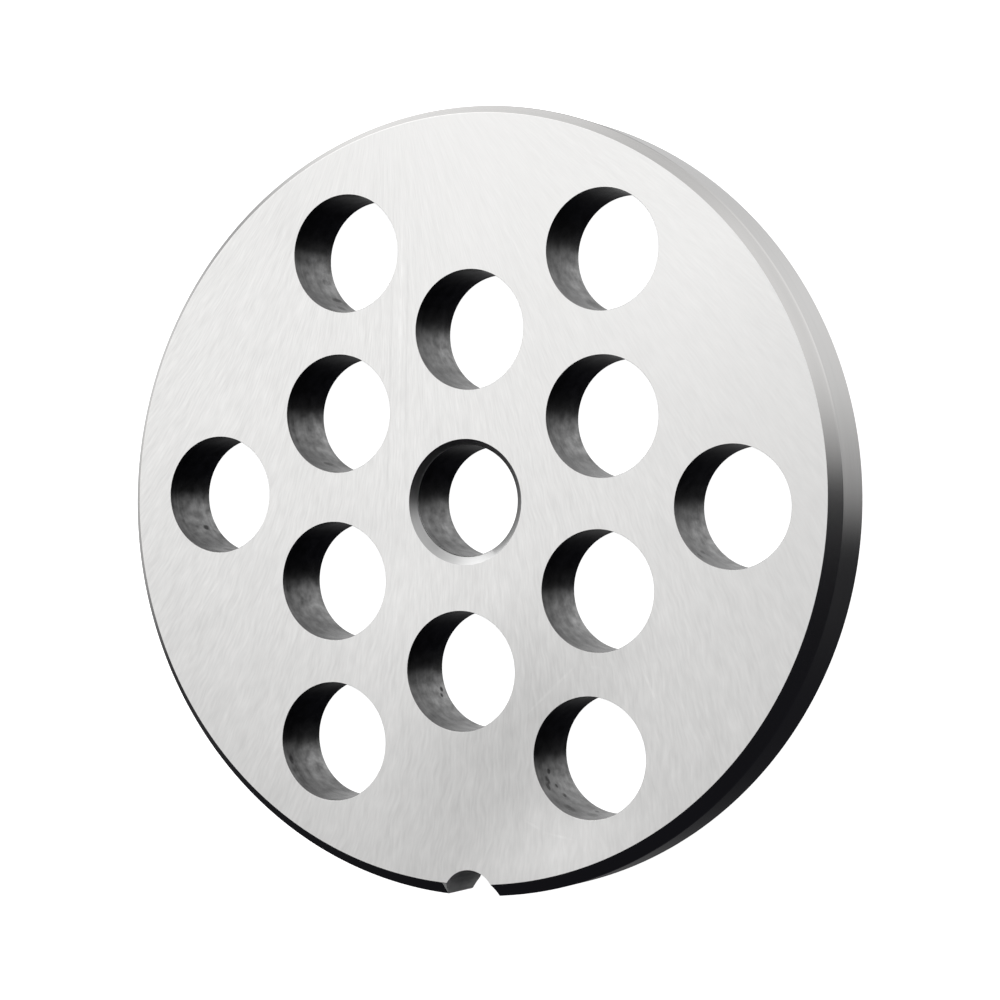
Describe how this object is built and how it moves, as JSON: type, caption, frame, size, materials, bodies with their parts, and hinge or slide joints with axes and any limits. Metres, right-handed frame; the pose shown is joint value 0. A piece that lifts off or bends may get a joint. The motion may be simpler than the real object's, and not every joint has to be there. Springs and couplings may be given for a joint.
{
  "type": "meat grinder plate",
  "caption": "Round, flat steel plate for a meat grinder, with a countersunk centre bore, two rings of large round holes, a chamfered rim and a locating notch.",
  "frame": {"origin": "on the axis of the centre bore, at the rear face that the plate lies on", "axes": "+Z along the bore's axis, out of the ground front face; the locating notch is on the -Y side, and +X points at one hole of the outer ring"},
  "size_m": [0.099, 0.099, 0.0095],
  "materials": {
    "ground_steel": "surface-ground faces, turned rim, reamed bore and drilled holes"
  },
  "bodies": {
    "root": {"grinder_plate": "ground_steel"}
  },
  "joints": []
}
